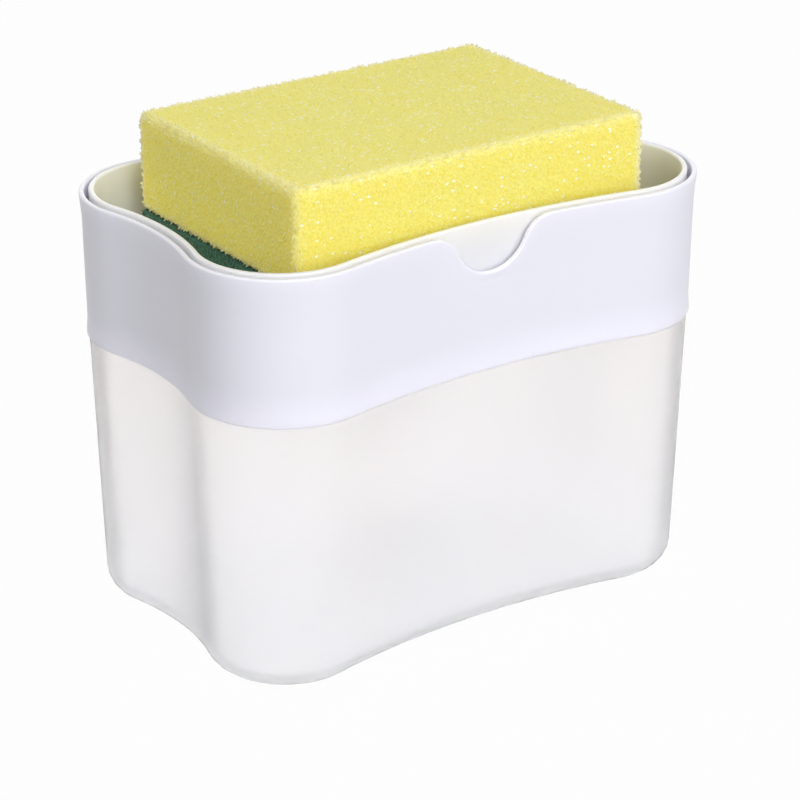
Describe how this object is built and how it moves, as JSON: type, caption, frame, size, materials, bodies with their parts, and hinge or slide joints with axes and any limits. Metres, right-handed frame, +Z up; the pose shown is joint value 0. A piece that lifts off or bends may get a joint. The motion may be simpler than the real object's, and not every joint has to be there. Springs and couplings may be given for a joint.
{
  "type": "soap pump sponge caddy",
  "caption": "Wavy free-standing soap caddy: a frosted tank under a white deck band with a press pump that carries a sponge tray.",
  "frame": {"origin": "middle of the base, on the table", "axes": "+X along the caddy, +Y to its back, +Z up; the finger notch is on the -Y side"},
  "size_m": [0.14, 0.0928, 0.1228],
  "materials": {
    "frosted_tank": "satin",
    "white_band": "gloss",
    "cream_tray": "gloss",
    "pump_plastic": "satin",
    "piston_plastic": "satin",
    "clear_tube": "satin",
    "seal_rubber": "matte",
    "steel": "polished",
    "foam": "matte",
    "scourer": "matte"
  },
  "bodies": {
    "tank": {"tank": "frosted_tank"},
    "deck": {"deck_band": "white_band", "lock_nut": "pump_plastic", "pump_gasket": "seal_rubber", "pump_cylinder": "pump_plastic", "stem_guide": "pump_plastic", "ball_cage": "pump_plastic", "dip_tube": "clear_tube"},
    "plunger": {"press_head": "pump_plastic", "pump_stem": "pump_plastic", "piston_rod": "pump_plastic", "piston_seal": "piston_plastic", "return_spring": "steel"},
    "tray": {"sponge_tray": "cream_tray"},
    "sponge": {"scourer_pad": "scourer", "sponge_foam": "foam"},
    "inlet_ball": {"inlet_ball": "steel"},
    "outlet_ball": {"outlet_ball": "steel"}
  },
  "joints": [
    {"name": "deck_lift", "type": "slide", "parent": "tank", "child": "deck", "axis": [0, 0, 1], "range_m": [0, 0.075]},
    {"name": "press", "type": "slide", "parent": "deck", "child": "plunger", "axis": [0, 0, 1], "range_m": [-0.01, 0], "stiffness_N_per_m": 600, "springref_m": 0.008, "deforming": ["return_spring"]},
    {"name": "tray_lift", "type": "slide", "parent": "plunger", "child": "tray", "axis": [0, 0, 1], "range_m": [0, 0.03]},
    {"name": "sponge_lift", "type": "slide", "parent": "tray", "child": "sponge", "axis": [0, 0, 1], "range_m": [0, 0.03]},
    {"name": "inlet_ball_lift", "type": "slide", "parent": "deck", "child": "inlet_ball", "axis": [0, 0, 1], "range_m": [0, 0.0015]},
    {"name": "outlet_ball_lift", "type": "slide", "parent": "plunger", "child": "outlet_ball", "axis": [0, 0, 1], "range_m": [0, 0.0015]}
  ]
}
